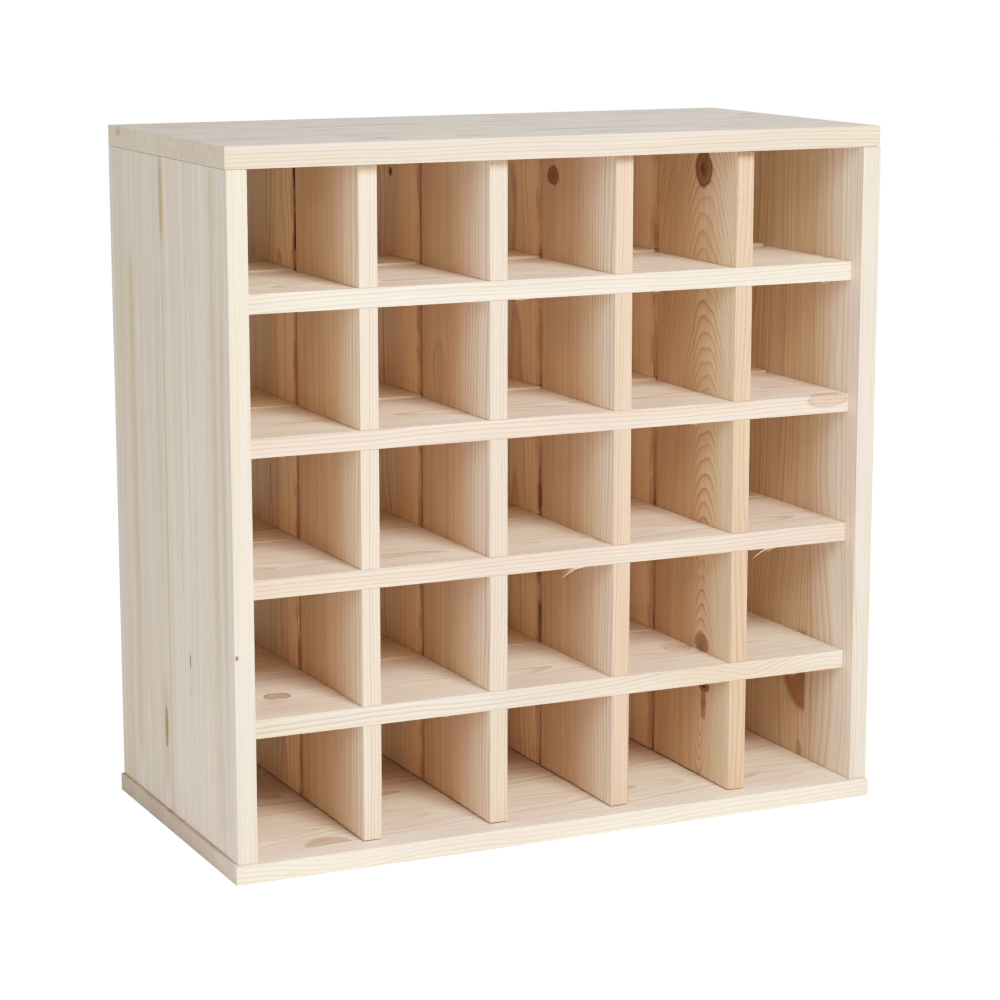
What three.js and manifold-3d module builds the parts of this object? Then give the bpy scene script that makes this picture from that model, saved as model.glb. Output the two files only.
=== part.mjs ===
// A free-standing pine wine rack for 25 bottles.
// Four glued-up boards make the carcass. Inside it stand two egg-crate grids, one behind the
// other, each of four shelves and four dividers halved into each other. Blind dowels hold the
// shelves and the top, and countersunk screws come up through the base.
// Millimetres. X runs across the rack, Y from the front to the back, Z up. The origin is the
// bottom centre of the whole rack.
import * as THREE from 'three';
import { mergeVertices } from 'three/addons/utils/BufferGeometryUtils.js';
import Module from 'manifold-3d';

const wasm = await Module();
wasm.setup();

// ---- Driving dimensions ----
const WIDTH = 600; // over the two side panels
const HEIGHT = 600; // from the floor to the top face
const DEPTH = 300; // of the side panels
const SIDE_THICKNESS = 17;
const BASE_THICKNESS = 16;
const TOP_THICKNESS = 18;
const PLANK_THICKNESS = 16; // of every shelf and divider
const PLANK_WIDTH = 140; // of the front shelves and dividers
const ROWS = 5;
const COLUMNS = 5;

const BASE_OVERHANG = { left: 3, right: 0.5, front: 4 }; // past the side panels
const TOP_OVERHANG = { left: 0, right: 1, front: -3 };
const GRID_RECESS = 15; // front of the shelves behind the front of the side panels
const GRID_BACK_INSET = 2; // back of the rear shelves in front of the back of the side panels
const END_GAP = 1.2; // between a divider's end and the board above or below it
const GLUE_GAP = 0.3; // between boards that are glued face to face
const SLOT_CLEARANCE = 0.3; // on each face of a halving joint

// Room between the front plank and the rear plank behind it. The rear planks were ripped by
// eye, so the room differs from plank to plank and along a plank.
const REAR_SHELF_GAPS = [
  { left: 3, right: 13 },
  { left: 3, right: 4 },
  { left: 4, right: 3 },
  { left: 5, right: 4 },
];
const REAR_DIVIDER_GAPS = [
  { bottom: 1, top: 1 },
  { bottom: 2, top: 3 },
  { bottom: 5, top: 11 },
  { bottom: 5, top: 14 },
];
const REAR_SHELF_LIFTS = [1.5, 1.2, 0, 0]; // above the front shelf of the same row

const DOWEL = { radius: 4, length: 30, chamfer: 1, clearance: 0.3, endRoom: 0.5 };
const TOP_DOWEL_IN_TOP = 12; // of a dowel's length that is in the top board
const SHELF_DOWEL_IN_SIDE = 11; // of a dowel's length that is in the side panel
const SCREW = { headRadius: 4, shankRadius: 2, length: 45, tip: 6, headLand: 0.6, clearance: 0.3 };
const SCREW_CROSS = { span: 4.4, width: 1.1, depth: 1.8 };
const SCREW_SINK = 0.5; // of the head below the face of the base
const CORNER_FIXING_INSET = 45; // of the first and last fixing from a side panel's edges
const FIXINGS_PER_CORNER = 3;
const ROUND_SEGMENTS = 20;
const CUTTER_OVERRUN = 1; // of a slot's cutter past the faces that it opens
const MERGE_TOLERANCE = 1e-4; // between corners that are one corner

// ---- Places worked out from them ----
const carcassLeft = -WIDTH / 2 + (BASE_OVERHANG.left - TOP_OVERHANG.right) / 2;
const carcassRight = carcassLeft + WIDTH;
const carcassFront = -DEPTH / 2 + BASE_OVERHANG.front / 2;
const carcassBack = carcassFront + DEPTH;
const sideBottom = BASE_THICKNESS + GLUE_GAP;
const topBottom = HEIGHT - TOP_THICKNESS;
const sideTop = topBottom - GLUE_GAP;
const innerLeft = carcassLeft + SIDE_THICKNESS;
const innerRight = carcassRight - SIDE_THICKNESS;
const cellWidth = (innerRight - innerLeft - (COLUMNS - 1) * PLANK_THICKNESS) / COLUMNS;
const cellHeight = (topBottom - BASE_THICKNESS - (ROWS - 1) * PLANK_THICKNESS) / ROWS;

// One entry for each grid. `middle` is where the halving joints end, halfway along them.
const frontGridFront = carcassFront + GRID_RECESS;
const frontGridBack = frontGridFront + PLANK_WIDTH;
const rearGridBack = carcassBack - GRID_BACK_INSET;
const GRIDS = [
  {
    name: 'front',
    back: frontGridBack,
    middle: (frontGridFront + frontGridBack) / 2,
    shelfFront: () => ({ left: frontGridFront, right: frontGridFront }),
    dividerFront: () => ({ bottom: frontGridFront, top: frontGridFront }),
    shelfLift: () => 0,
  },
  {
    name: 'rear',
    back: rearGridBack,
    middle: (frontGridBack + rearGridBack) / 2,
    shelfFront: (row) => ({
      left: frontGridBack + REAR_SHELF_GAPS[row].left,
      right: frontGridBack + REAR_SHELF_GAPS[row].right,
    }),
    dividerFront: (column) => ({
      bottom: frontGridBack + REAR_DIVIDER_GAPS[column].bottom,
      top: frontGridBack + REAR_DIVIDER_GAPS[column].top,
    }),
    shelfLift: (row) => REAR_SHELF_LIFTS[row],
  },
];

// Shelves are counted from the top and dividers from the left.
const shelfBottom = (grid, row) =>
  topBottom - (row + 1) * (cellHeight + PLANK_THICKNESS) + grid.shelfLift(row);
const dividerLeft = (column) =>
  innerLeft + (column + 1) * cellWidth + column * PLANK_THICKNESS;
const shelfRows = [...Array(ROWS - 1).keys()];
const dividerColumns = [...Array(COLUMNS - 1).keys()];

// ---- Materials ----
const material = (color, roughness, metalness = 0) =>
  new THREE.MeshStandardMaterial({ color, roughness, metalness });
const carcassPine = () => material(0xe6d3b6, 0.65);
const shelfPine = () => material(0xe3cba8, 0.68);
const dividerPine = () => material(0xdcbd97, 0.68);
const beech = () => material(0xd2a878, 0.6);
const zincPlate = () => material(0xb9bcc0, 0.35, 0.9);

// ---- Solids and joinery ----
function toSolid(geometry) {
  const bare = geometry.clone();
  bare.deleteAttribute('normal');
  bare.deleteAttribute('uv');
  const merged = mergeVertices(bare, MERGE_TOLERANCE);
  return new wasm.Manifold(
    new wasm.Mesh({
      numProp: 3,
      vertProperties: new Float32Array(merged.attributes.position.array),
      triVerts: new Uint32Array(merged.index.array),
    }),
  );
}

function toGeometry(solid) {
  const mesh = solid.getMesh();
  const geometry = new THREE.BufferGeometry();
  geometry.setAttribute('position', new THREE.BufferAttribute(mesh.vertProperties, 3));
  geometry.setIndex(new THREE.BufferAttribute(mesh.triVerts, 1));
  geometry.computeVertexNormals();
  return geometry;
}

const cutAway = (geometry, cutters) =>
  toGeometry(cutters.reduce((solid, cutter) => solid.subtract(toSolid(cutter)), toSolid(geometry)));

function block(low, high) {
  const size = high.map((value, axis) => value - low[axis]);
  const centre = high.map((value, axis) => (value + low[axis]) / 2);
  return new THREE.BoxGeometry(...size).translate(...centre);
}

// Turns a geometry that was drawn along +Z so that it runs along another direction, and puts
// its start at a point.
function along(geometry, direction, start) {
  const turn = new THREE.Quaternion().setFromUnitVectors(new THREE.Vector3(0, 0, 1), direction);
  return geometry.applyQuaternion(turn).translate(...start);
}

// A solid of revolution around Z. The profile is [radius, height] pairs from the axis to the
// axis.
const turned = (profile) =>
  new THREE.LatheGeometry(
    profile.map(([radius, height]) => new THREE.Vector2(radius, height)),
    ROUND_SEGMENTS,
  ).rotateX(Math.PI / 2);

const rod = (radius, length) => turned([[0, 0], [radius, 0], [radius, length], [0, length]]);

const RIGHTWARD = new THREE.Vector3(1, 0, 0);
const LEFTWARD = new THREE.Vector3(-1, 0, 0);
const UPWARD = new THREE.Vector3(0, 0, 1);

const rack = new THREE.Group();

function add(name, geometry, finish) {
  const mesh = new THREE.Mesh(geometry, finish);
  mesh.name = name;
  rack.add(mesh);
}

// ---- Fixings: where each one starts, which way it runs, and the hole it needs ----
const fixingPlaces = [...Array(FIXINGS_PER_CORNER).keys()].map(
  (index) =>
    carcassFront +
    CORNER_FIXING_INSET +
    (index * (DEPTH - 2 * CORNER_FIXING_INSET)) / (FIXINGS_PER_CORNER - 1),
);
const sides = [
  { name: 'left', outer: carcassLeft, inner: innerLeft, inward: RIGHTWARD },
  { name: 'right', outer: carcassRight, inner: innerRight, inward: LEFTWARD },
];
const sideMiddle = (side) => (side.outer + side.inner) / 2;

function dowelShape() {
  const { radius, length, chamfer } = DOWEL;
  return turned([
    [0, 0],
    [radius - chamfer, 0],
    [radius, chamfer],
    [radius, length - chamfer],
    [radius - chamfer, length],
    [0, length],
  ]);
}

function dowelHole(direction, start) {
  const from = new THREE.Vector3(...start).addScaledVector(direction, -DOWEL.endRoom);
  const hole = rod(DOWEL.radius + DOWEL.clearance, DOWEL.length + 2 * DOWEL.endRoom);
  return along(hole, direction, from.toArray());
}

const topDowels = sides.flatMap((side) =>
  fixingPlaces.map((y, index) => ({
    name: `${side.name}_top_dowel_${index + 1}`,
    direction: UPWARD,
    start: [sideMiddle(side), y, topBottom + TOP_DOWEL_IN_TOP - DOWEL.length],
  })),
);

const shelfDowels = GRIDS.flatMap((grid) =>
  sides.flatMap((side) =>
    shelfRows.map((row) => ({
      name: `${side.name}_${grid.name}_shelf_dowel_${row + 1}`,
      direction: side.inward,
      start: [
        side.inner - side.inward.x * SHELF_DOWEL_IN_SIDE,
        grid.middle,
        shelfBottom(grid, row) + PLANK_THICKNESS / 2,
      ],
    })),
  ),
);

const dowelHoles = [...topDowels, ...shelfDowels].map((dowel) =>
  dowelHole(dowel.direction, dowel.start),
);

// The screw's outline, grown by a clearance on every side for its hole.
function screwProfile(clearance) {
  const head = SCREW.headRadius + clearance;
  const shank = SCREW.shankRadius + clearance;
  const cone = SCREW.headLand + head - shank; // the head tapers at 45 degrees
  const end = SCREW.length + clearance;
  return [
    [0, 0],
    [head, 0],
    [head, SCREW.headLand],
    [shank, cone],
    [shank, end - SCREW.tip],
    [0, end],
  ];
}

function crossRecess() {
  const { span, width, depth } = SCREW_CROSS;
  const slots = [[span, width], [width, span]];
  return slots.map(([x, y]) => block([-x / 2, -y / 2, -depth], [x / 2, y / 2, depth]));
}

const baseScrews = sides.flatMap((side) =>
  fixingPlaces.map((y, index) => ({
    name: `${side.name}_base_screw_${index + 1}`,
    start: [sideMiddle(side), y, SCREW_SINK],
  })),
);

const screwHoles = baseScrews.flatMap(({ start: [x, y, z] }) => [
  along(turned(screwProfile(SCREW.clearance)), UPWARD, [x, y, z]),
  along(rod(SCREW.headRadius + SCREW.clearance, 2 * SCREW_SINK), UPWARD, [x, y, -SCREW_SINK]),
]);

// Only the holes that reach into a board are cut from it.
function drilled(board) {
  board.computeBoundingBox();
  const reaches = (hole) => {
    hole.computeBoundingBox();
    return hole.boundingBox.intersectsBox(board.boundingBox);
  };
  const holes = [...dowelHoles, ...screwHoles].filter(reaches);
  return cutAway(board, holes);
}

// ---- Carcass ----
function carcass() {
  const base = block(
    [carcassLeft - BASE_OVERHANG.left, carcassFront - BASE_OVERHANG.front, 0],
    [carcassRight + BASE_OVERHANG.right, carcassBack, BASE_THICKNESS],
  );
  const top = block(
    [carcassLeft - TOP_OVERHANG.left, carcassFront - TOP_OVERHANG.front, topBottom],
    [carcassRight + TOP_OVERHANG.right, carcassBack, HEIGHT],
  );
  add('base_board', drilled(base), carcassPine());
  add('top_board', drilled(top), carcassPine());
  for (const side of sides) {
    const low = Math.min(side.outer, side.inner);
    const panel = block(
      [low, carcassFront, sideBottom],
      [low + SIDE_THICKNESS, carcassBack, sideTop],
    );
    add(`${side.name}_side_panel`, drilled(panel), carcassPine());
  }
}

// ---- Grids ----
// A flat plank from its four corners, in the plane of its face, extruded by its thickness.
function plank(corners) {
  const outline = new THREE.Shape(corners.map(([u, v]) => new THREE.Vector2(u, v)));
  return new THREE.ExtrudeGeometry(outline, { depth: PLANK_THICKNESS, bevelEnabled: false });
}

// A shelf runs on at its front, so its slots are cut from its back edge.
function shelf(grid, row) {
  const left = innerLeft + GLUE_GAP;
  const right = innerRight - GLUE_GAP;
  const front = grid.shelfFront(row);
  const bottom = shelfBottom(grid, row);
  const blank = plank([
    [left, front.left],
    [right, front.right],
    [right, grid.back],
    [left, grid.back],
  ]).translate(0, 0, bottom);
  const slots = dividerColumns.map((column) =>
    block(
      [
        dividerLeft(column) - SLOT_CLEARANCE,
        grid.middle - SLOT_CLEARANCE / 2,
        bottom - CUTTER_OVERRUN,
      ],
      [
        dividerLeft(column) + PLANK_THICKNESS + SLOT_CLEARANCE,
        grid.back + CUTTER_OVERRUN,
        bottom + PLANK_THICKNESS + CUTTER_OVERRUN,
      ],
    ),
  );
  return drilled(cutAway(blank, slots));
}

// A divider's slots are cut from its front edge.
function divider(grid, column) {
  const left = dividerLeft(column);
  const bottom = BASE_THICKNESS + END_GAP;
  const top = topBottom - END_GAP;
  const front = grid.dividerFront(column);
  const upright = new THREE.Matrix4().makeBasis(
    new THREE.Vector3(0, 1, 0),
    new THREE.Vector3(0, 0, 1),
    new THREE.Vector3(1, 0, 0),
  );
  const blank = plank([
    [front.bottom, bottom],
    [grid.back, bottom],
    [grid.back, top],
    [front.top, top],
  ])
    .applyMatrix4(upright)
    .translate(left, 0, 0);
  const slots = shelfRows.map((row) =>
    block(
      [
        left - CUTTER_OVERRUN,
        Math.min(front.bottom, front.top) - CUTTER_OVERRUN,
        shelfBottom(grid, row) - SLOT_CLEARANCE,
      ],
      [
        left + PLANK_THICKNESS + CUTTER_OVERRUN,
        grid.middle + SLOT_CLEARANCE / 2,
        shelfBottom(grid, row) + PLANK_THICKNESS + SLOT_CLEARANCE,
      ],
    ),
  );
  return cutAway(blank, slots);
}

function grids() {
  for (const grid of GRIDS) {
    for (const row of shelfRows) {
      add(`${grid.name}_shelf_${row + 1}`, shelf(grid, row), shelfPine());
    }
    for (const column of dividerColumns) {
      add(`${grid.name}_divider_${column + 1}`, divider(grid, column), dividerPine());
    }
  }
}

// ---- Fixings ----
function fixings() {
  for (const dowel of [...topDowels, ...shelfDowels]) {
    add(dowel.name, along(dowelShape(), dowel.direction, dowel.start), beech());
  }
  for (const screw of baseScrews) {
    const shape = cutAway(turned(screwProfile(0)), crossRecess());
    add(screw.name, shape.translate(...screw.start), zincPlate());
  }
}

carcass();
grids();
fixings();

export default rack;
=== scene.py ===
import math

import bmesh
import bpy
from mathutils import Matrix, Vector


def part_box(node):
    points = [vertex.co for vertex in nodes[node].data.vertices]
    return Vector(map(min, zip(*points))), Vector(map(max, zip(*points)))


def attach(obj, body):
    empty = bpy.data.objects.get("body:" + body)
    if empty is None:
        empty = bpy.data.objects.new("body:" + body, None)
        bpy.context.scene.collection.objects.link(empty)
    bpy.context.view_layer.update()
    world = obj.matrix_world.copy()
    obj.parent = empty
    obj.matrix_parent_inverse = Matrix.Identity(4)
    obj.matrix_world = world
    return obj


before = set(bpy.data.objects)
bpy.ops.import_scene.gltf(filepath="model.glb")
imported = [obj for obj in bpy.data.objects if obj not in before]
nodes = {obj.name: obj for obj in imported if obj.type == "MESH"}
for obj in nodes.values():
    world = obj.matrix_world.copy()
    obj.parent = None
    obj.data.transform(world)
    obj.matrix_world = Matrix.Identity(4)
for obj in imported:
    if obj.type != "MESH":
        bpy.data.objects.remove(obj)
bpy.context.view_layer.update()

MM = 0.001

# A Mix node's sockets: its factor, its two numbers, its two colours, and the colour it gives.
MIX_FACTOR = 0
MIX_NUMBERS = (2, 3)
MIX_COLOURS = (6, 7)
MIXED_COLOUR = 2


# ---------------------------------------------------------------- shader nodes as expressions
class Wire:
    """A node's output, which can be added, multiplied and so on as a number can."""

    def __init__(self, graph, socket):
        self.graph = graph
        self.socket = socket

    def __add__(self, other):
        return self.graph.math("ADD", self, other)

    def __radd__(self, other):
        return self.graph.math("ADD", other, self)

    def __sub__(self, other):
        return self.graph.math("SUBTRACT", self, other)

    def __rsub__(self, other):
        return self.graph.math("SUBTRACT", other, self)

    def __mul__(self, other):
        return self.graph.math("MULTIPLY", self, other)

    def __rmul__(self, other):
        return self.graph.math("MULTIPLY", other, self)

    def __truediv__(self, other):
        return self.graph.math("DIVIDE", self, other)


class Graph:
    """A material's node tree, with short ways to add nodes to it."""

    def __init__(self, name):
        self.material = bpy.data.materials.new(name)
        self.material.use_nodes = True
        self.tree = self.material.node_tree
        self.tree.nodes.clear()

    def feed(self, value, socket):
        if isinstance(value, Wire):
            self.tree.links.new(value.socket, socket)
        elif socket.type == "RGBA" and len(value) == 3:
            socket.default_value = (*value, 1.0)
        else:
            socket.default_value = value

    def node(self, kind, settings=None, inputs=None):
        made = self.tree.nodes.new(kind)
        for name, value in (settings or {}).items():
            setattr(made, name, value)
        for name, value in (inputs or {}).items():
            self.feed(value, made.inputs[name])
        return made

    def math(self, operation, *values):
        made = self.node("ShaderNodeMath", {"operation": operation})
        for value, socket in zip(values, made.inputs):
            self.feed(value, socket)
        return Wire(self, made.outputs[0])

    def parts(self, socket):
        """The x, y and z of a vector, as three wires."""
        split = self.node("ShaderNodeSeparateXYZ", inputs={"Vector": Wire(self, socket)})
        return [Wire(self, output) for output in split.outputs]

    def place(self):
        """The x, y and z of a point on the piece in the frame, in millimetres."""
        coordinates = self.node("ShaderNodeTexCoord")
        return [part / MM for part in self.parts(coordinates.outputs["Object"])]

    def point(self, x, y, z):
        made = self.node("ShaderNodeCombineXYZ", inputs={"X": x, "Y": y, "Z": z})
        return Wire(self, made.outputs[0])

    def smooth(self, value, low, high):
        """An S-shaped step from 0, where value is low, to 1, where it is high."""
        made = self.node(
            "ShaderNodeMapRange",
            {"interpolation_type": "SMOOTHSTEP"},
            {"Value": value, "From Min": low, "From Max": high},
        )
        return Wire(self, made.outputs[0])

    def hump(self, value, width):
        """1 where value is 0, falling to 0 within a few widths each side."""
        scaled = value / width
        return self.math("EXPONENT", scaled * scaled * -1.0)

    def noise(self, vector, detail, roughness=0.5):
        """Soft noise from 0 to 1, with about one bump to each unit of the vector."""
        made = self.node(
            "ShaderNodeTexNoise",
            inputs={"Vector": vector, "Scale": 1.0, "Detail": detail, "Roughness": roughness},
        )
        return Wire(self, made.outputs[0])

    def random(self, value):
        """Three numbers from 0 to 1 that change wherever the whole number in value does."""
        made = self.node("ShaderNodeTexWhiteNoise", {"noise_dimensions": "1D"}, {"W": value})
        split = self.node("ShaderNodeSeparateColor", inputs={"Color": Wire(self, made.outputs["Color"])})
        return [Wire(self, output) for output in split.outputs]

    def mix(self, factor, first, second, blend="MIX"):
        made = self.node("ShaderNodeMix", {"data_type": "RGBA", "blend_type": blend})
        for value, socket in zip((factor, first, second), (MIX_FACTOR, *MIX_COLOURS)):
            self.feed(value, made.inputs[socket])
        return Wire(self, made.outputs[MIXED_COLOUR])

    def surface(self, colour, roughness, bump_height, **plain):
        """Ends the tree in a Principled surface. The bump's height is in millimetres."""
        bump = self.node(
            "ShaderNodeBump",
            inputs={"Strength": 1.0, "Distance": MM, "Height": bump_height},
        )
        shader = self.node(
            "ShaderNodeBsdfPrincipled",
            inputs={
                "Base Color": colour,
                "Roughness": roughness,
                "Normal": Wire(self, bump.outputs[0]),
                **plain,
            },
        )
        end = self.node("ShaderNodeOutputMaterial")
        self.tree.links.new(shader.outputs[0], end.inputs["Surface"])
        return self.material


# ---------------------------------------------------------------- pine
EARLY = (0.82, 0.650, 0.485)  # the pale wood that each spring adds
LATE = (0.56, 0.350, 0.195)  # the dark line that ends each year's ring
LATE_PINK = (0.60, 0.350, 0.250)
PINK = (0.74, 0.500, 0.390)  # heartwood
YELLOW = (0.77, 0.600, 0.385)  # sapwood near the bark
OCHRE = (0.55, 0.360, 0.150)  # resin
DUST = (0.50, 0.380, 0.280)  # grime in the open grain of the top
TAN = (0.55, 0.400, 0.280)
KNOT = (0.30, 0.135, 0.065)
SPIKE = (0.42, 0.215, 0.130)  # a knot cut along its length
KNOT_DARK = (0.045, 0.022, 0.012)
KNOT_LIGHT = (0.50, 0.270, 0.150)
# The dark of a real crack, also used for a line of painted shade in a joint gap.
CRACK_AND_GAP_SHADE = (0.06, 0.030, 0.015)
END_GRAIN = (0.44, 0.300, 0.190)
GLUE_LINE = (0.40, 0.250, 0.130)
# Painted shade in the joint gap behind a front divider plank.
GAP_SHADE_BROWN = (0.40, 0.200, 0.105)
AS_IT_IS = (1.0, 1.0, 1.0)  # a tint that changes nothing

# How long and how wide the bumps of each pattern in the wood are, in millimetres.
WANDER = (260, 60)
RIPPLE = (42, 14)
BAND = (300, 8)
CLOUD = (150, 38)
STREAK = (150, 4)
FIBRE = (24, 0.9)
CANAL = (6, 0.4)  # resin canals

PINE_IOR = 1.45
PITH_SPREAD = (50, 20)  # the range that the staves' piths are strewn over, across and through
EDGE_TAPER = 0.008  # of the grain on a front edge, which runs almost parallel to it
GLUE_WIDTH = 0.32
FADE = 25  # how far past its ends a resin line fades out

# Round a knot, the grain is bent over this many times the knot's reach, and by this much.
BEND_ALONG = 3.0
BEND_ACROSS = 1.7
BEND = 0.6

# Painted light and shade along a front edge: how far behind it they fade out, and where they are full.
FRONT_LIGHT_REACH = (75, 10)
GAP_SHADE_BAND = (11, 1)
GAP_SHADE_LINE = (1.6, 0.6)
GAP_BAND_STRAY = 24  # how raggedly the brown band of painted shade ends
GAP_LINE_STRAY = 20

# What a board has where its own settings in BOARDS don't say otherwise. Lengths are in
# millimetres, and tints multiply the colour.
PLAIN_BOARD = {
    "upright": False,  # the grain runs up, and not along x
    "taper": 0.03,  # of the rings, along the board
    "ring": 2.3,  # width of a year's ring
    "wander": 10,  # slow bend of the rings
    "ripple": 1.2,  # quick bend of the rings
    "contrast": 0.8,  # of late wood against early wood
    "pink": 0.35,
    "yellow": 0.6,
    "tint": AS_IT_IS,
    "painted_front_light": AS_IT_IS,  # painted light: paler towards the front, where more light falls
    "front_tint": AS_IT_IS,  # on the front edge
    "end_tint": AS_IT_IS,
    "end_grain": 0.25,
    "seams": [],  # y of the lines between glued staves
    "knots": [],
    "waves": [],  # bends in the front edge's grain
    "stains_and_shade": [],
    "resin": [],
    "cracks": [],
    "gap_shade": 0.0,  # how strong the painted shade along the front edge is, in the joint gap behind a front plank
    "gap_line_above": 0,  # height above which a dark line of painted shade runs along that edge
    "ease": 0.25,  # rounding of the board's edges
}


class Timber(Graph):
    """Solid pine, cut from a trunk whose pith runs beside the board.

    along, across and through are places in the frame, in millimetres: along the grain,
    over the board's width, and through its thickness."""

    def __init__(self, name, node, board):
        super().__init__(name)
        self.board = board
        self.seed = board["seed"]
        x, y, z = self.place()
        facing_x, facing_y, facing_z = self.parts(self.node("ShaderNodeTexCoord").outputs["Normal"])
        low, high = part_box(node)
        middle = (low + high) / 2 / MM
        if board["upright"]:
            self.along, self.across, self.through = z, y, x
            self.middle = (middle.z, middle.y, middle.x)
            end = facing_z
        else:
            self.along, self.across, self.through = x, y, z
            self.middle = (middle.x, middle.y, middle.z)
            end = facing_x
        half_width = (high.y - low.y) / 2 / MM
        self.front = self.middle[1] - half_width
        self.back = self.middle[1] + half_width
        self.at_front = self.smooth(facing_y, -0.5, -0.9)
        self.at_end = self.smooth(self.math("ABSOLUTE", end), 0.6, 0.9)

    def grain(self, size, detail, roughness=0.5, **places):
        """Noise drawn out along the grain. places can give another along or across, and a
        step through the board to where the noise is read."""
        length, width = size
        along = places.get("along", self.along)
        across = places.get("across", self.across)
        step = places.get("step", 0.0)
        place = self.point(along / length + self.seed, across / width, self.through / width + step)
        return self.noise(place, detail, roughness)

    def drift(self, length, detail, reach):
        """A slow sideways stray of a line that runs along the grain."""
        place = self.point(self.along / length + self.seed, 0.0, 0.0)
        return (self.noise(place, detail) - 0.5) * reach

    def stretch(self, start, end, outside, inside):
        """1 from start to end along the grain. Each end fades from this far outside it to this
        far inside it."""
        begun = self.smooth(self.along, start - outside, start + inside)
        return begun * self.smooth(self.along, end + outside, end - inside)

    def near_front(self, across, band):
        """1 at the front edge, falling to 0 over a band behind it."""
        fades_out, full = band
        return self.smooth(across, self.front + fades_out, self.front + full)

    def tinted(self, colour, factor, tint):
        """The colour, multiplied by the tint where factor is 1."""
        if tint == AS_IT_IS:
            return colour
        return self.mix(factor, colour, self.mix(1.0, colour, tint, "MULTIPLY"))

    def staves(self):
        """Glued-up boards: which stave this is, where its middle is, its own three random
        numbers, and the glue lines."""
        seams = self.board["seams"]
        edges = [self.front, *seams, self.back]
        middles = [(first + last) / 2 for first, last in zip(edges, edges[1:])]
        stave = 0.0
        glue = 0.0
        middle = middles[0]
        for seam, before, after in zip(seams, middles, middles[1:]):
            past = self.math("GREATER_THAN", self.across, seam)
            stave = past + stave
            middle = past * (after - before) + middle
            glue = self.hump(self.across - seam, GLUE_WIDTH) + glue
        own = self.random(stave + self.seed * 7.3) if seams else (0.5, 0.5, 0.5)
        return stave, middle, own, glue

    def distance(self, mark):
        """1 on the edge of a mark that is an ellipsoid, less inside it, more outside."""
        total = 0.0
        here = (self.along, self.across, self.through)
        for coordinate, centre, half in zip(here, mark["at"], mark["half"]):
            if half:
                offset = (coordinate - centre) / half
                total = offset * offset + total
        return self.math("SQRT", total)

    def bend_round(self, mark, flow):
        """The place across the grain, pushed away from a knot as the grain is."""
        along, across, _ = mark["at"]
        up = (self.along - along) / (mark["reach"] * BEND_ALONG)
        side = (self.across - across) / (mark["reach"] * BEND_ACROSS)
        near = self.hump(self.math("SQRT", up * up + side * side), 1.0)
        return flow - (self.across - across) * near * BEND

    def rings(self, flow, stave, middle, own):
        """How much late wood there is, and a random hue for each year's ring."""
        turn, shift, _ = own
        board = self.board
        pith_across, pith_through = board["pith"]
        along = self.along - self.middle[0]
        wander = self.grain(WANDER, 1.0, along=along, across=flow, step=stave * 3.7) - 0.5
        ripple = self.grain(RIPPLE, 0.0, along=along, across=flow) - 0.5
        taper = self.at_front * (EDGE_TAPER - board["taper"]) + board["taper"]
        spread_across, spread_through = PITH_SPREAD
        aside = flow - middle - pith_across - (turn - 0.5) * spread_across
        deep = self.through - self.middle[2] - pith_through - along * taper
        deep = deep - (shift - 0.5) * spread_through
        for wave in board["waves"]:
            bent = self.hump((self.along - wave["along"]) / wave["reach"], 1.0)
            deep = deep - bent * self.at_front * wave["rise"]
        radius = self.math("SQRT", aside * aside + deep * deep)
        radius = radius + wander * board["wander"] + ripple * board["ripple"]
        ring = radius / board["ring"]
        year = self.math("FRACT", ring)
        strength, hue, _ = self.random(self.math("FLOOR", ring) + self.seed)
        # The wood darkens slowly, then fast, and pales again at once where the next year begins.
        late = self.smooth(year, 0.15, 0.90) * 0.4 + self.smooth(year, 0.62, 0.90) * 0.6
        late = late * self.smooth(year, 1.0, 0.95) * (strength * 0.6 + 0.4)
        return late * (1 - self.at_end * 0.6), hue

    def clear_wood(self, flow, stave, own, late, hue, fibre, streak, canal):
        """The board's colour without its marks, with painted light towards the front."""
        board = self.board
        cloud = self.grain(CLOUD, 1.0, step=stave * 5.1)
        band = self.grain(BAND, 0.0, across=flow, step=stave * 2.3)
        colour = self.mix(self.smooth(band, 0.35, 0.65) * board["yellow"], EARLY, YELLOW)
        colour = self.mix(self.smooth(cloud, 0.40, 0.70) * board["pink"], colour, PINK)
        colour = self.mix(late * board["contrast"], colour, self.mix(hue, LATE, LATE_PINK))
        tone = 0.80 + fibre * 0.14 + streak * 0.26 + (own[2] - 0.5) * 0.08 - canal * 0.10
        grey = self.node("ShaderNodeCombineColor", inputs={"Red": tone, "Green": tone, "Blue": tone})
        colour = self.mix(1.0, colour, Wire(self, grey.outputs[0]), "MULTIPLY")
        colour = self.mix(1.0, colour, board["tint"], "MULTIPLY")
        # Painted light: paler towards the front edge, where more light falls.
        colour = self.tinted(colour, self.near_front(self.across, FRONT_LIGHT_REACH), board["painted_front_light"])
        colour = self.tinted(colour, self.at_front, board["front_tint"])
        colour = self.mix(self.at_end * board["end_grain"], colour, END_GRAIN)
        return self.tinted(colour, self.at_end, board["end_tint"])

    def paint_patch(self, colour, mark, late, streak):
        away = self.distance(mark) + (streak - 0.5) * 0.8
        soft = self.smooth(away, 1.2, 0.4) * mark["strength"]
        if mark["grained"]:
            soft = soft * (late * mark["grained"] + (1 - mark["grained"]))
        return self.mix(soft, colour, mark["colour"])

    def paint_gap_shade(self, colour):
        """Painted shade along a front edge that sits in the joint gap behind another plank: a ragged brown
        band, and a dark line above a given height.
        """
        board = self.board
        place = self.point(self.along / 30 + self.seed, self.across / 8, self.through / 9)
        stray = self.noise(place, 3.0) - 0.5
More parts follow.
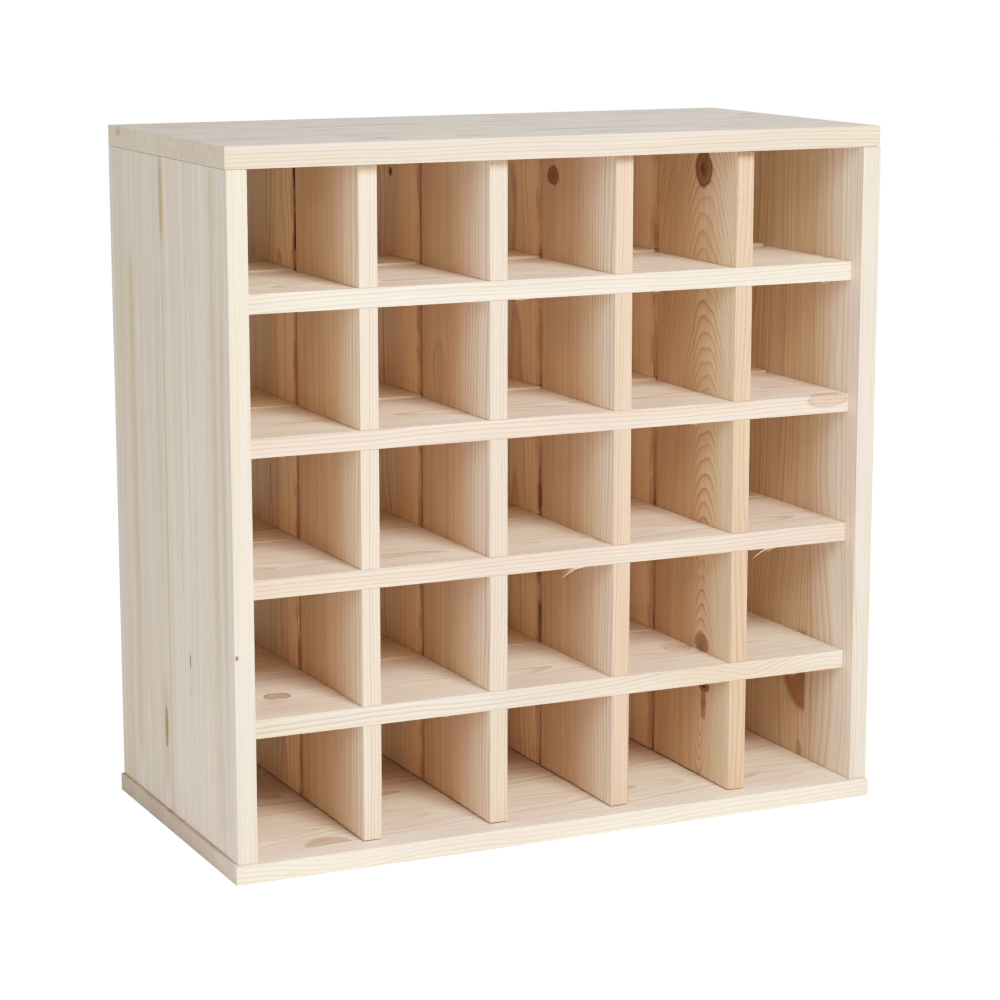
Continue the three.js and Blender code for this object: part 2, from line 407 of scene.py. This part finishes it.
        # Painted shade: a ragged brown band behind the front edge.
        edge = self.near_front(self.across - stray * GAP_BAND_STRAY, GAP_SHADE_BAND) * board["gap_shade"]
        colour = self.mix(edge * 0.85, colour, GAP_SHADE_BROWN)
        # Painted shade: a dark line at the very edge, above a given height.
        split = self.near_front(self.across - stray * GAP_LINE_STRAY, GAP_SHADE_LINE)
        above = self.smooth(self.along, board["gap_line_above"] - 30, board["gap_line_above"] + 10)
        return self.mix(split * board["gap_shade"] * above, colour, CRACK_AND_GAP_SHADE)

    def paint_knot(self, colour, mark):
        reach = mark["reach"]
        place = self.point(self.along / reach + self.seed, self.across / reach, self.through / reach)
        away = self.distance(mark) + (self.noise(place, 2.0) - 0.5) * mark["ragged"]
        inside = self.smooth(away, 1.10, 0.90) * mark["strength"]
        rim = self.hump(away - 1.0, 0.12) * mark["rim"]
        if "cut" in mark:
            kept = self.smooth(self.across, mark["cut"] - 0.4, mark["cut"] + 0.4)
            inside = inside * kept
            rim = rim * kept
        core = self.smooth(away, 0.75, 0.25) * mark["dark"]
        rings = (self.math("SINE", away * mark["rings"]) * 0.5 + 0.5) * mark["ringed"]
        wood = self.mix(core, self.mix(rings, mark["colour"], KNOT_LIGHT), KNOT_DARK)
        return self.mix(rim, self.mix(inside, colour, wood), KNOT_DARK)

    def paint_line(self, colour, mark):
        stray = self.drift(70, 1.0, mark["drift"])
        streak = self.hump(self.across - mark["across"] + stray, mark["width"])
        reach = self.stretch(mark["start"], mark["end"], FADE, 5)
        return self.mix(streak * reach * mark["strength"], colour, mark["colour"])

    def finish(self):
        board = self.board
        stave, middle, own, glue = self.staves()
        flow = self.across
        for mark in board["knots"]:
            flow = self.bend_round(mark, flow)
        late, hue = self.rings(flow, stave, middle, own)

        fibre = self.grain(FIBRE, 2.0, 0.65)
        length, width = STREAK
        place = self.point(self.along / length, flow / width + self.seed, self.through / width)
        streak = self.noise(place, 2.0, 0.6)
        canal = self.smooth(self.grain(CANAL, 0.0), 0.70, 0.82)
        colour = self.clear_wood(flow, stave, own, late, hue, fibre, streak, canal)
        height = fibre * 0.05 - canal * 0.08

        for mark in board["stains_and_shade"]:
            colour = self.paint_patch(colour, mark, late, streak)
        # Painted shade in the joint gap, along the front edge of a rear divider.
        if board["gap_shade"]:
            colour = self.paint_gap_shade(colour)
        for mark in board["knots"]:
            colour = self.paint_knot(colour, mark)
        for mark in board["resin"]:
            colour = self.paint_line(colour, mark)
        for mark in board["cracks"]:
            open_here = self.hump(self.across - mark["across"] + self.drift(22, 2.0, 3), mark["width"])
            open_here = open_here * self.stretch(mark["start"], mark["end"], 3, 3)
            colour = self.mix(open_here, colour, CRACK_AND_GAP_SHADE)
            height = height - open_here * 0.6
        if board["seams"]:
            place = self.point(self.along / 35 + self.seed, self.across / 30, 0.0)
            patchy = self.smooth(self.noise(place, 2.0), 0.3, 0.7)
            colour = self.mix(glue * patchy * 0.55, colour, GLUE_LINE)
            height = height - glue * 0.12
        return self.surface(colour, 0.62 + fibre * 0.12, height, IOR=PINE_IOR)


# ---------------------------------------------------------------- the boards
PLAIN_KNOT = {
    "strength": 0.9,
    "colour": KNOT,
    "rim": 0.3,  # of the dark line round it
    "dark": 0.3,  # of its heart
    "rings": 16.0,
    "ringed": 0.4,  # strength of its own rings
    "ragged": 0.35,
}
LEAST_KNOT_REACH = 3.0  # how far even a small knot bends the grain


def knot(along, across, half, **more):
    """A knot right through a board. half is its half length along the grain and half width."""
    return edge_knot(along, across, 0.0, (*half, None), **more)


def edge_knot(along, across, through, half, **more):
    """A knot that doesn't go through the board. half has its three half sizes. A cut=y keeps
    only the part behind that y."""
    reach = max(half[1], LEAST_KNOT_REACH)
    return {"at": (along, across, through), "half": half, "reach": reach, **PLAIN_KNOT, **more}


def resin_line(across, start, end, width, strength, drift=4, colour=OCHRE):
    """A line of resin or dirt along the grain, from start to end."""
    return {
        "across": across,
        "start": start,
        "end": end,
        "width": width,
        "strength": strength,
        "drift": drift,
        "colour": colour,
    }


def crack(across, start, end, width):
    return {"across": across, "start": start, "end": end, "width": width}


def wave(along, reach, rise):
    """A place where the front edge's grain rises, over about reach on each side."""
    return {"along": along, "reach": reach, "rise": rise}


def soft_patch(at, half, colour, strength, grained=0.0):
    """A soft patch of colour, for a stain and for painted shade. A grained one shows more in the late
    wood.
    """
    return {"at": at, "half": half, "colour": colour, "strength": strength, "grained": grained}


# What several boards share.
PANEL = {"end_grain": 0.1, "ease": 0.2}
SHELF = {"ring": 2.8, "contrast": 0.95, "wander": 13, "pink": 0.5, "tint": (0.96, 1.01, 1.10)}
REAR_SHELF = {"ring": 2.8}
DIVIDER = {"ring": 3.0, "taper": 0.012, "contrast": 1.0, "painted_front_light": (1.02, 1.05, 1.10)}
# Painted light: the rear planks sit deep in the cells and are lightened all over, most just behind their
# front edges.
REAR_DIVIDER = {
    "ring": 2.5,
    "taper": 0.012,
    "tint": (1.06, 1.06, 1.05),
    "painted_front_light": (1.30, 1.28, 1.28),
    "ease": 0.2,
}

# pith is where the pith runs, across and through the board from the middle of each stave.
BOARDS = {
    "left_side_panel": {
        **PANEL,
        "upright": True,
        "pith": (60, 60),
        "taper": 0.008,
        "wander": 5,
        "contrast": 0.45,
        "pink": 0.15,
        "yellow": 1.0,
        # Painted light: the pale blue tint stands in for the cool light that falls on this side; the front
        # tint takes it off the front edge again.
        "tint": (1.085, 1.16, 1.27),
        "front_tint": (0.92, 0.88, 0.80),
        "seams": [-105, -45, 13, 60, 108],
        "knots": [
            knot(90, 27, (17, 3.6), dark=0.35, rim=0.7, rings=9),
            knot(163, -39, (7, 1.3), dark=1.0),
            knot(137, -38, (4, 1.0), dark=0.8, rim=0.2, strength=0.5),
            edge_knot(190, -148, -297, (2.2, 3, 1.6), dark=1.0),
        ],
        "resin": [
            resin_line(14, 527, 572, 5.0, 0.85, drift=0.5),
            resin_line(14, 0, 540, 2.0, 0.50, drift=0.5),
            resin_line(128, 20, 570, 14, 0.22),
            resin_line(98, 60, 480, 8, 0.42),
            resin_line(76, 120, 570, 8, 0.14),
            resin_line(30, 100, 460, 9, 0.16),
            resin_line(-20, 250, 560, 7, 0.10),
            resin_line(-110, 40, 570, 7, 0.30),
            resin_line(-129, 40, 450, 5, 0.28),
            resin_line(28, 50, 118, 8, 0.45, drift=2),
        ],
    },
    "right_side_panel": {
        **PANEL,
        "upright": True,
        "pith": (20, -60),
        "taper": 0.005,
        "ring": 2.8,
        "wander": 7,
        "yellow": 0.8,
        "tint": (1.0, 1.03, 1.06),
        "painted_front_light": (1.07, 1.12, 1.18),
        "front_tint": (0.87, 0.84, 0.79),
        "seams": [-70, -16, 38, 92],
        "knots": [
            edge_knot(
                97, -71, 282, (36, 42, 12),
                dark=0.15, rim=0.15, ragged=0.3, cut=-68, ringed=0.1, strength=0.85, colour=SPIKE,
            ),
            knot(22, -60, (7, 6), dark=0.1, rim=0.15, strength=0.2),
        ],
    },
    "top_board": {
        **PANEL,
        "pith": (0, -60),
        "taper": 0.02,
        "ring": 2.8,
        "contrast": 0.85,
        "pink": 0.2,
        # Painted light: the blue tint stands in for cool light falling on the top; the front and end tints
        # take most of it off again.
        "tint": (0.915, 1.05, 1.23),
        "front_tint": (0.95, 0.81, 0.69),
        "end_grain": 0.05,
        "end_tint": (1.12, 1.02, 0.87),
        "seams": [-98, -40, 18, 74],
        "resin": [
            resin_line(-118, -250, 120, 5, 0.22, drift=12, colour=DUST),
            resin_line(-60, -280, 280, 4, 0.25, drift=16, colour=DUST),
            resin_line(6, -200, 280, 6, 0.22, drift=20, colour=TAN),
            resin_line(52, -280, 60, 5, 0.25, drift=14, colour=DUST),
            resin_line(105, -240, 280, 7, 0.20, drift=18, colour=TAN),
        ],
        "knots": [edge_knot(-299, 124, 596, (4, 6, 4), dark=0.1, strength=0.35, rim=0.1, ragged=0.8)],
    },
    "base_board": {
        "pith": (0, 50),
        "taper": 0.04,
        "ring": 3.0,
        "wander": 14,
        "pink": 0.5,
        "yellow": 0.5,
        "tint": (0.96, 0.99, 1.06),
        "painted_front_light": (1.05, 1.08, 1.12),
        "front_tint": (1.085, 1.06, 0.945),
        "seams": [-96, -42, 15, 70, 115],
        "knots": [
            edge_knot(
                -209, -127, 17, (21, 20, 9),
                dark=0.0, rim=0.1, ragged=0.25, strength=0.6, cut=-126, ringed=0.1, colour=SPIKE,
            ),
        ],
        "cracks": [crack(-60, -133, -124, 0.4)],
    },
    "front_shelf_1": {**SHELF, "pith": (-30, -60), "front_tint": (1.09, 1.11, 1.02)},
    "front_shelf_2": {
        **SHELF,
        "pith": (-10, -58),
        "front_tint": (1.03, 0.91, 0.84),
        "knots": [
            edge_knot(262, -134, 361, (20, 14, 6), dark=0.0, rim=0.25, rings=24, ringed=0.9, strength=0.5),
        ],
    },
    "front_shelf_3": {
        **SHELF,
        "pith": (-25, 60),
        "ring": 2.7,
        "pink": 0.7,
        "front_tint": (1.03, 0.92, 0.85),
    },
    "front_shelf_4": {
        **SHELF,
        "pith": (-15, 58),
        "pink": 0.6,
        "wander": 16,
        "front_tint": (1.04, 1.01, 0.94),
        "knots": [
            knot(-233, -68, (11, 9), dark=0.35, rim=0.55, strength=0.6),
            knot(153, -61, (13, 15), dark=0.1, rim=0.15, strength=0.35, rings=12, ragged=1.0, ringed=0.7),
        ],
        "waves": [wave(118, 55, 7), wave(190, 40, -8), wave(258, 45, 8)],
        "stains_and_shade": [
            soft_patch((190, -133, 0), (95, 9, None), (0.66, 0.410, 0.240), 0.75, grained=0.6),
            soft_patch((155, -131, 114), (34, 8, 7), (0.62, 0.370, 0.210), 0.6, grained=0.5),
        ],
    },
    "rear_shelf_1": {**REAR_SHELF, "pith": (0, 60)},
    "rear_shelf_2": {**REAR_SHELF, "pith": (30, 58)},
    "rear_shelf_3": {**REAR_SHELF, "pith": (-20, 60)},
    "rear_shelf_4": {**REAR_SHELF, "pith": (10, 62), "cracks": [crack(76, -290, -200, 0.5)]},
    "front_divider_1": {
        **DIVIDER,
        "pith": (-95, 70),
        "ring": 2.9,
        "taper": 0.01,
        "yellow": 0.8,
        "front_tint": (0.95, 0.89, 0.82),
        # Painted shade: darker at the top, under the top board, and towards the back.
        "stains_and_shade": [
            soft_patch((560, -40, 0), (22, 40, None), (0.62, 0.43, 0.24), 0.45),
            soft_patch((530, -8, 0), (60, 12, None), (0.70, 0.50, 0.32), 0.4),
        ],
    },
    "front_divider_2": {
        **DIVIDER,
        "pith": (-92, 70),
        "front_tint": (0.88, 0.80, 0.74),
        "knots": [
            knot(392, -30, (26, 13), dark=0.0, rim=0.1, strength=0.12, rings=14, ragged=0.5, ringed=0.9),
        ],
    },
    "front_divider_3": {
        **DIVIDER,
        "pith": (-98, 72),
        "tint": (1.0, 0.99, 0.99),
        "front_tint": (0.83, 0.64, 0.54),
        "knots": [knot(556, -14, (8, 10), rim=0.5)],
    },
    "front_divider_4": {
        **DIVIDER,
        "pith": (-18, 36),
        "ring": 2.6,
        "taper": 0.20,
        "ripple": 1.8,
        "wander": 15,
        "tint": (0.97, 0.92, 0.86),
        "painted_front_light": (1.0, 1.03, 1.05),
        "front_tint": (0.80, 0.66, 0.58),
        "knots": [
            knot(562, -74, (14, 14), dark=0.95, rim=0.6, ringed=0.2),
            knot(586, -78, (30, 5), rim=0.0, strength=0.6, ragged=0.8, ringed=0.0),
            knot(139, -82, (9, 12), dark=0.5, rim=0.15, strength=0.7, ragged=0.8, ringed=0.15),
            knot(101, -86, (5, 9), dark=1.0, rim=0.6, ringed=0.0),
            knot(84, -86, (16, 5), dark=0.2, rim=0.0, strength=0.6, ragged=0.6, ringed=0.0),
        ],
    },
    # The rear dividers carry painted shade along their front edges, in the joint gap behind the front
    # planks.
    "rear_divider_1": {
        **REAR_DIVIDER,
        "pith": (-30, 66),
        "taper": 0.01,
        "gap_shade": 0.95,
        "gap_line_above": 485,
        "cracks": [crack(76, 268, 306, 0.5)],
    },
    "rear_divider_2": {
        **REAR_DIVIDER,
        "pith": (25, 60),
        "taper": 0.01,
        "gap_shade": 0.8,
        "gap_line_above": 620,
        "knots": [knot(557, 75, (4, 4), dark=0.9)],
    },
    "rear_divider_3": {**REAR_DIVIDER, "pith": (-20, 62), "gap_shade": 0.5, "gap_line_above": 150},
    "rear_divider_4": {**REAR_DIVIDER, "pith": (30, 62), "gap_shade": 0.6, "gap_line_above": 620},
}
WELD_DISTANCE = 0.02  # millimetres between corners that are one corner
SHARP_EDGE = 40  # degrees: only edges sharper than this are eased


def show(piece, material):
    piece.data.materials.clear()
    piece.data.materials.append(material)


def boards():
    """Gives each board its own timber, and eases its edges as sandpaper does."""
    for number, (name, settings) in enumerate(BOARDS.items()):
        seed = 1.0 + number * 1.7
        board = {**PLAIN_BOARD, "upright": "divider" in name, "seed": seed, **settings}
        show(nodes[name], Timber(f"pine_{name}", name, board).finish())
        weld = nodes[name].modifiers.new("weld", "WELD")
        weld.merge_threshold = WELD_DISTANCE * MM
        ease = nodes[name].modifiers.new("eased_edges", "BEVEL")
        ease.width = board["ease"] * MM
        ease.segments = 2
        ease.limit_method = "ANGLE"
        ease.angle_limit = math.radians(SHARP_EDGE)


# ---------------------------------------------------------------- dowels and screws
BEECH_IOR = 1.45


def beech(name, upright):
    """Turned beech: pinkish brown, with short dark flecks along the grain."""
    g = Graph(name)
    x, y, z = g.place()
    along, aside = (z, x) if upright else (x, z)
    fleck = g.smooth(g.noise(g.point(along / 2.2, y / 0.25, aside / 0.25), 1.0), 0.60, 0.72)
    band = g.noise(g.point(along / 60, y / 1.6, aside / 1.6), 2.0)
    colour = g.mix(band, (0.58, 0.37, 0.22), (0.70, 0.48, 0.31))
    colour = g.mix(fleck * 0.6, colour, (0.30, 0.15, 0.075))
    return g.surface(colour, 0.55 + band * 0.15, band * 0.05 - fleck * 0.04, IOR=BEECH_IOR)


def zinc():
    """Bright zinc plate: faint turning marks, a blue and yellow bloom, and dull spots."""
    g = Graph("zinc_plate")
    x, y, z = g.place()
    bloom = g.noise(g.point(x / 5, y / 5, z / 5), 2.0)
    spots = g.noise(g.point(x / 0.6, y / 0.6, z / 0.6), 2.0)
    turning = g.math("SINE", z * 24 + bloom * 5)
    colour = g.mix(g.smooth(bloom, 0.35, 0.65), (0.62, 0.66, 0.72), (0.74, 0.71, 0.62))
    colour = g.mix(g.smooth(spots, 0.60, 0.75) * 0.4, colour, (0.40, 0.40, 0.40))
    return g.surface(colour, 0.26 + spots * 0.22, turning * 0.01 + spots * 0.02, Metallic=1.0)


def fixings():
    upright = beech("beech_upright", True)
    level = beech("beech_level", False)
    plated = zinc()
    for name, piece in nodes.items():
        if "top_dowel" in name:
            show(piece, upright)
        elif "shelf_dowel" in name:
            show(piece, level)
        elif "base_screw" in name:
            show(piece, plated)


# ---------------------------------------------------------------- splinters
# Fibres that the saw tore from the lower front edges of the shelves. Each one starts at x on
# that edge, and curls sideways and down, in millimetres.
SPLINTERS = {
    "front_shelf_1": [
        {"x": 250, "sideways": 8, "down": 4, "thick": 0.35},
        {"x": 96, "sideways": -9, "down": 1.5, "thick": 0.25},
        {"x": -40, "sideways": 7, "down": 1.2, "thick": 0.22},
        {"x": -47, "sideways": 12, "down": 2.0, "thick": 0.25},
    ],
    "front_shelf_2": [
        {"x": 122, "sideways": 9, "down": 1.6, "thick": 0.25},
        {"x": -171, "sideways": -6, "down": 1.4, "thick": 0.22},
    ],
    "front_shelf_3": [
        {"x": 24, "sideways": -23, "down": 8, "thick": 0.5},
        {"x": 20, "sideways": -17, "down": 3.5, "thick": 0.3},
        {"x": 208, "sideways": -20, "down": 8, "thick": 0.55},
        {"x": 212, "sideways": -12, "down": 4, "thick": 0.35},
    ],
    "front_shelf_4": [
        {"x": -110, "sideways": 7, "down": 1.4, "thick": 0.22},
        {"x": 236, "sideways": -8, "down": 1.8, "thick": 0.25},
    ],
}

# Lengths are in millimetres.
SPLINTER_RINGS = 14
SPLINTER_SIDES = 6
SPLINTER_ROOT = 0.6  # how far up inside the shelf it starts
SPLINTER_STAND_OFF = 0.3  # in front of the shelf
SPLINTER_BOW = 1.6  # how far it curls forwards
SPLINTER_BOW_PART = 0.8  # of a half turn
SPLINTER_DROOP = 2.3  # a higher power droops later
SPLINTER_TAPER = 0.6  # a lower power stays thick for longer
SPLINTER_TIP = 0.02
SPLINTER_FLATNESS = 0.5


def splinter(mesh, start, settings):
    """Adds one splinter: a thin flat sliver that droops, and tapers to a point."""
    drop = settings["down"] + SPLINTER_ROOT
    previous = None
    for step in range(SPLINTER_RINGS + 1):
        run = step / SPLINTER_RINGS
        centre = start + MM * Vector((
            settings["sideways"] * run,
            -SPLINTER_STAND_OFF - SPLINTER_BOW * math.sin(run * math.pi * SPLINTER_BOW_PART),
            SPLINTER_ROOT - drop * run**SPLINTER_DROOP,
        ))
        size = settings["thick"] * MM * (1 - run)**SPLINTER_TAPER + SPLINTER_TIP * MM
        ring = []
        for side in range(SPLINTER_SIDES):
            angle = 2 * math.pi * side / SPLINTER_SIDES
            offset = Vector((0, math.sin(angle) * size * SPLINTER_FLATNESS, math.cos(angle) * size))
            ring.append(mesh.verts.new(centre + offset))
        if previous:
            for side in range(SPLINTER_SIDES):
                after = (side + 1) % SPLINTER_SIDES
                mesh.faces.new((previous[side], previous[after], ring[after], ring[side]))
        else:
            mesh.faces.new(reversed(ring))
        previous = ring
    mesh.faces.new(previous)


def splinter_pine():
    g = Graph("pine_splinter")
    x, y, z = g.place()
    fibre = g.noise(g.point(x / 6, y / 0.2, z / 0.2), 2.0)
    colour = g.mix(fibre, (0.86, 0.72, 0.52), (0.70, 0.50, 0.30))
    return g.surface(colour, 0.6, fibre * 0.05, IOR=PINE_IOR)


def splinters():
    material = splinter_pine()
    for shelf, torn in SPLINTERS.items():
        low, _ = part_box(shelf)
        mesh = bmesh.new()
        for settings in torn:
            splinter(mesh, Vector((settings["x"] * MM, low.y, low.z)), settings)
        bmesh.ops.recalc_face_normals(mesh, faces=mesh.faces)
        data = bpy.data.meshes.new(f"{shelf}_splinters")
        mesh.to_mesh(data)
        mesh.free()
        for face in data.polygons:
            face.use_smooth = True
        piece = bpy.data.objects.new(f"{shelf}_splinters", data)
        bpy.context.scene.collection.objects.link(piece)
        show(piece, material)
        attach(piece, "root")


# ---------------------------------------------------------------- studio
CAMERA_PLACE = (-1.073, -2.298, 0.762)
CAMERA_DIP = 10.99  # degrees below the horizon
CAMERA_TURN = -25.16  # degrees, to the right
CAMERA_LENS = 104.8  # millimetres, on a sensor this wide
CAMERA_SENSOR = 36
FARTHEST_SEEN = 50  # metres
AIM = Vector((0, 0, 0.3))  # what the lamps point at
LAMP_DISTANCE = 3.0
SIDE_COLOUR = (0.92, 1.0, 1.12)  # a little blue

WHITE_POINT = 1.4  # the scene brightness that the picture shows as pure white
STEEPNESS = 1.3
SHOULDER = 0.4
CURVE_POINTS = 7  # each at half the brightness of the one before
ALL_COLOURS = 3  # the curve that works on red, green and blue alike

SKY_SEEN = 1.6  # white in the picture
SKY_AS_LIGHT = 0.12
FLOOR_GLOW_SEEN = 1.3
FLOOR_SIZE = 40


def camera():
    data = bpy.data.cameras.new("camera")
    data.sensor_width = CAMERA_SENSOR
    data.lens = CAMERA_LENS
    data.clip_end = FARTHEST_SEEN
    eye = bpy.data.objects.new("camera", data)
    bpy.context.scene.collection.objects.link(eye)
    eye.location = CAMERA_PLACE
    eye.rotation_euler = (math.radians(90 - CAMERA_DIP), 0, math.radians(CAMERA_TURN))
    bpy.context.scene.camera = eye


def soft_light(name, azimuth, elevation, size, power, colour=(1.0, 1.0, 1.0)):
    """A square soft box. Azimuth 0 is straight in front, and 90 is to the right."""
    data = bpy.data.lights.new(name, "AREA")
    data.size = size
    data.energy = power
    data.color = colour
    lamp = bpy.data.objects.new(name, data)
    bpy.context.scene.collection.objects.link(lamp)
    turn = math.radians(azimuth)
    rise = math.radians(elevation)
    away = Vector((math.sin(turn) * math.cos(rise), -math.cos(turn) * math.cos(rise), math.sin(rise)))
    lamp.location = AIM + away * LAMP_DISTANCE
    lamp.rotation_euler = away.to_track_quat("Z", "Y").to_euler()


def film_response(brightness):
    """Brightness in the picture: deep shadows, bright middle tones and a soft shoulder."""
    top = WHITE_POINT**STEEPNESS
    value = brightness**STEEPNESS
    return value * (1 + SHOULDER / top) / (value + SHOULDER)


def film():
    view = bpy.context.scene.view_settings
    view.view_transform = "Standard"
    view.use_curve_mapping = True
    view.curve_mapping.white_level = (WHITE_POINT, WHITE_POINT, WHITE_POINT)
    curve = view.curve_mapping.curves[ALL_COLOURS]
    for halving in range(1, CURVE_POINTS + 1):
        place = 0.5**halving
        curve.points.new(place, film_response(place * WHITE_POINT))
    view.curve_mapping.update()


def white_to_the_eye(tree, strength_seen, strength_of_light):
    """Strength of a glow that is one value where the camera sees it, and another as a light."""
    path = tree.nodes.new("ShaderNodeLightPath")
    choose = tree.nodes.new("ShaderNodeMix")
    tree.links.new(path.outputs["Is Camera Ray"], choose.inputs[MIX_FACTOR])
    for socket, strength in zip(MIX_NUMBERS, (strength_of_light, strength_seen)):
        choose.inputs[socket].default_value = strength
    return choose.outputs[0]


def sky():
    world = bpy.data.worlds.new("studio")
    bpy.context.scene.world = world
    world.use_nodes = True
    background = world.node_tree.nodes["Background"]
    background.inputs["Color"].default_value = (1.0, 1.0, 1.0, 1.0)
    glow = white_to_the_eye(world.node_tree, SKY_SEEN, SKY_AS_LIGHT)
    world.node_tree.links.new(glow, background.inputs["Strength"])


def floor_paper():
    """White paper, which also glows so that the camera sees it as pure white."""
    g = Graph("floor_white")
    paper = g.node("ShaderNodeBsdfDiffuse", inputs={"Color": (0.9, 0.9, 0.9)})
    glow = g.node("ShaderNodeEmission")
    g.tree.links.new(white_to_the_eye(g.tree, FLOOR_GLOW_SEEN, 0.0), glow.inputs["Strength"])
    both = g.node("ShaderNodeAddShader")
    g.tree.links.new(paper.outputs[0], both.inputs[0])
    g.tree.links.new(glow.outputs[0], both.inputs[1])
    end = g.node("ShaderNodeOutputMaterial")
    g.tree.links.new(both.outputs[0], end.inputs["Surface"])
    return g.material


def studio():
    soft_light("key_light", azimuth=5, elevation=34, size=1.1, power=84)
    soft_light("side_light", azimuth=-65, elevation=14, size=1.5, power=23, colour=SIDE_COLOUR)
    soft_light("back_light", azimuth=150, elevation=8, size=1.5, power=21)
    sky()
    bpy.ops.mesh.primitive_plane_add(size=FLOOR_SIZE)
    floor = bpy.context.object
    floor.name = "floor"
    floor.data.materials.append(floor_paper())


camera()
boards()
fixings()
splinters()
film()
studio()
